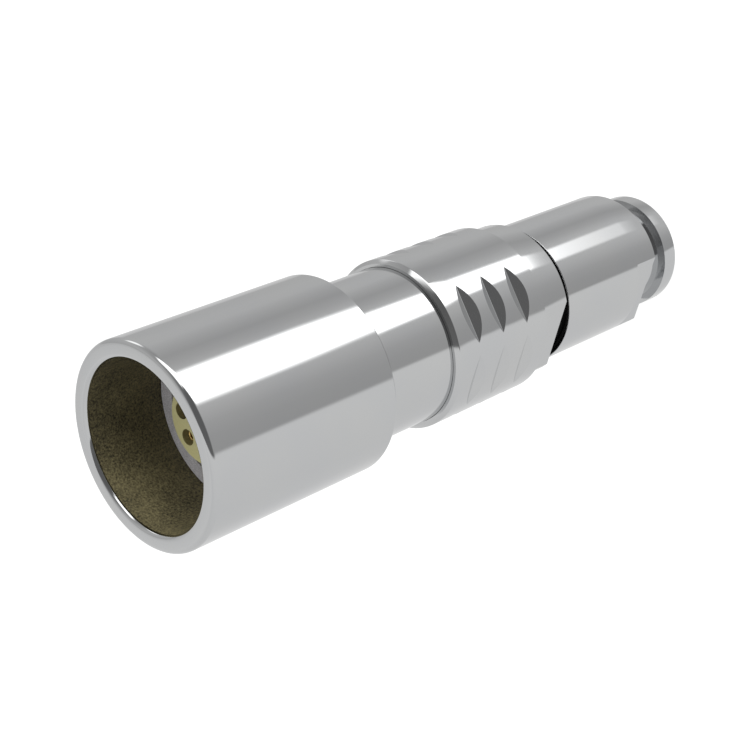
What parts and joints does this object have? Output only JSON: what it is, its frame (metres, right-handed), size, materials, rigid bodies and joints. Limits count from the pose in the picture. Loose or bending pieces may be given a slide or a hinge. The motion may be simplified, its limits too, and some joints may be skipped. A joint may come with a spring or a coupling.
{
  "type": "push pull circular connector",
  "caption": "Push-pull circular connector, cable socket half, with a sliding grooved release sleeve and a screwed cable clamp nut.",
  "frame": {"origin": "middle of the cable nut's bottom face, on the connector's axis", "axes": "+Z along the axis, from the cable end up to the socket's mouth; X is square to the wrench flats; Y lies along them"},
  "size_m": [0.0126, 0.0126, 0.0453],
  "materials": {
    "plated_brass": "satin nickel plating over turned metal",
    "blasted_metal": "fine matt grain",
    "insulator_plastic": "matt cream",
    "contact_gold": "gold plating",
    "inner_brass": "plain turned",
    "plain_steel": "plain",
    "black_rubber": "matt"
  },
  "bodies": {
    "socket_body": {"socket_shell": "plated_brass", "insert_retaining_ring": "blasted_metal", "front_insulator": "insulator_plastic", "rear_insulator": "insulator_plastic", "contact_01": "contact_gold", "contact_02": "contact_gold", "contact_03": "contact_gold", "contact_04": "contact_gold", "contact_05": "contact_gold", "contact_06": "contact_gold", "contact_07": "contact_gold", "insert_carrier_left": "inner_brass", "insert_carrier_right": "inner_brass", "insert_spacer": "inner_brass", "spring_collar": "plain_steel", "collar_snap_ring": "plain_steel", "return_spring": "plain_steel"},
    "release_sleeve": {"grip_sleeve": "plated_brass", "latch_sleeve": "inner_brass"},
    "collet_group": {"cable_collet": "inner_brass", "thrust_washer": "plain_steel", "cable_gasket": "black_rubber"},
    "cable_nut": {"collet_nut": "plated_brass", "nut_seal": "black_rubber"}
  },
  "joints": [
    {"name": "sleeve_release", "type": "slide", "parent": "socket_body", "child": "release_sleeve", "axis": [0, 0, -1], "range_m": [0, 0.0006], "stiffness_N_per_m": 2000, "springref_m": -0.001, "deforming": ["return_spring"]},
    {"name": "collet_travel", "type": "slide", "parent": "socket_body", "child": "collet_group", "axis": [0, 0, -1], "range_m": [0, 0.003]},
    {"name": "nut_turn", "type": "hinge", "parent": "collet_group", "child": "cable_nut", "pos_m": [0, 0, 0.007], "axis": [0, 0, -1], "range_deg": [0, 2160]}
  ],
  "couplings": [
    {"joint": "nut_turn", "follows": "collet_travel", "rad_per_m": 12566}
  ]
}
